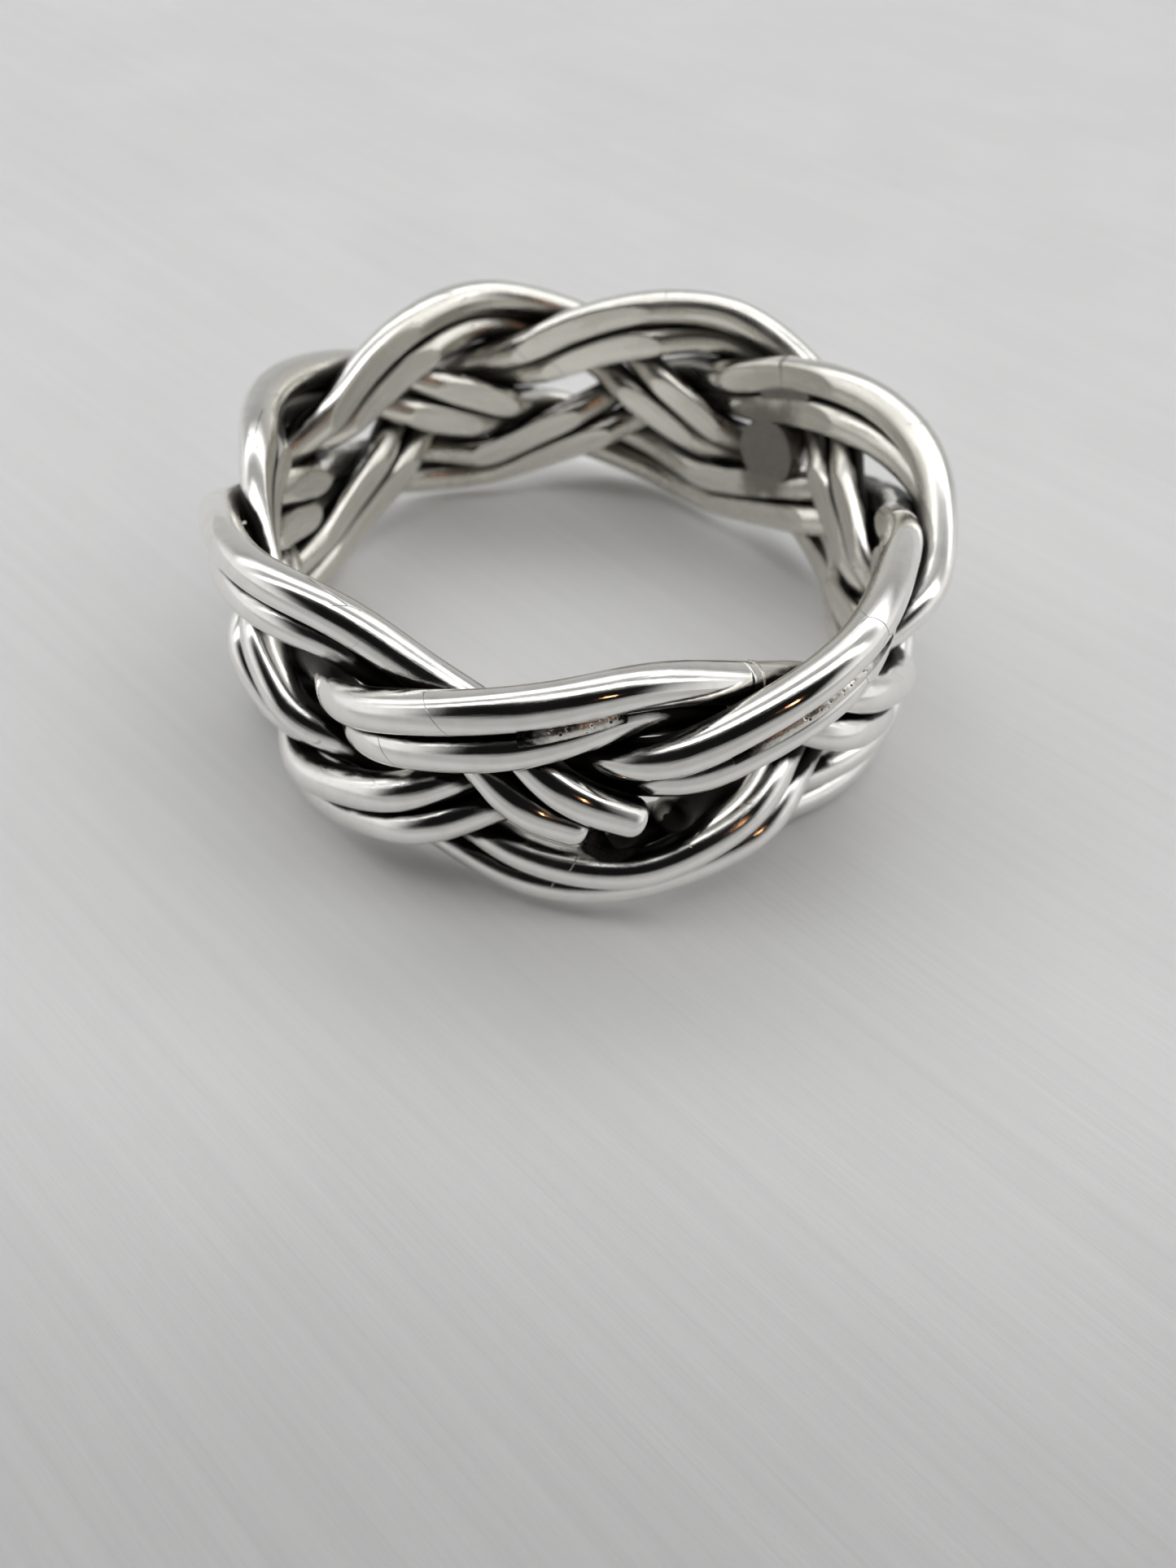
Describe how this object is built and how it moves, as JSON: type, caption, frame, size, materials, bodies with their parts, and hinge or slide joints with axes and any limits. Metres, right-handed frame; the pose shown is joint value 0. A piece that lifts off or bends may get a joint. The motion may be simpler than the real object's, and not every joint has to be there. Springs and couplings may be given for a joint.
{
  "type": "woven wire finger ring",
  "caption": "Finger ring plaited from doubled round silver wire into a flat four-row band with scalloped edges, soldered and filed smooth inside.",
  "frame": {"origin": "middle of the finger hole, on its axis", "axes": "+Z along the finger axis, -Y towards the front of the band, +X to the right"},
  "size_m": [0.0235, 0.0234, 0.0094],
  "materials": {
    "silver": "polished sterling silver, blackened in the recesses",
    "solder": "silver solder, slightly duller and pitted"
  },
  "bodies": {
    "root": {"strand_1_upper_wire": "silver", "strand_1_lower_wire": "silver", "strand_2_upper_wire": "silver", "strand_2_lower_wire": "silver", "strand_3_upper_wire": "silver", "strand_3_lower_wire": "silver", "strand_4_upper_wire": "silver", "strand_4_lower_wire": "silver", "front_joint_solder": "solder", "hidden_joint_solder": "solder", "back_joint_solder": "solder", "front_groove_solder": "solder", "right_groove_solder": "solder", "tail_solder": "solder", "back_flood_solder": "solder", "front_flood_solder": "solder"}
  },
  "joints": []
}
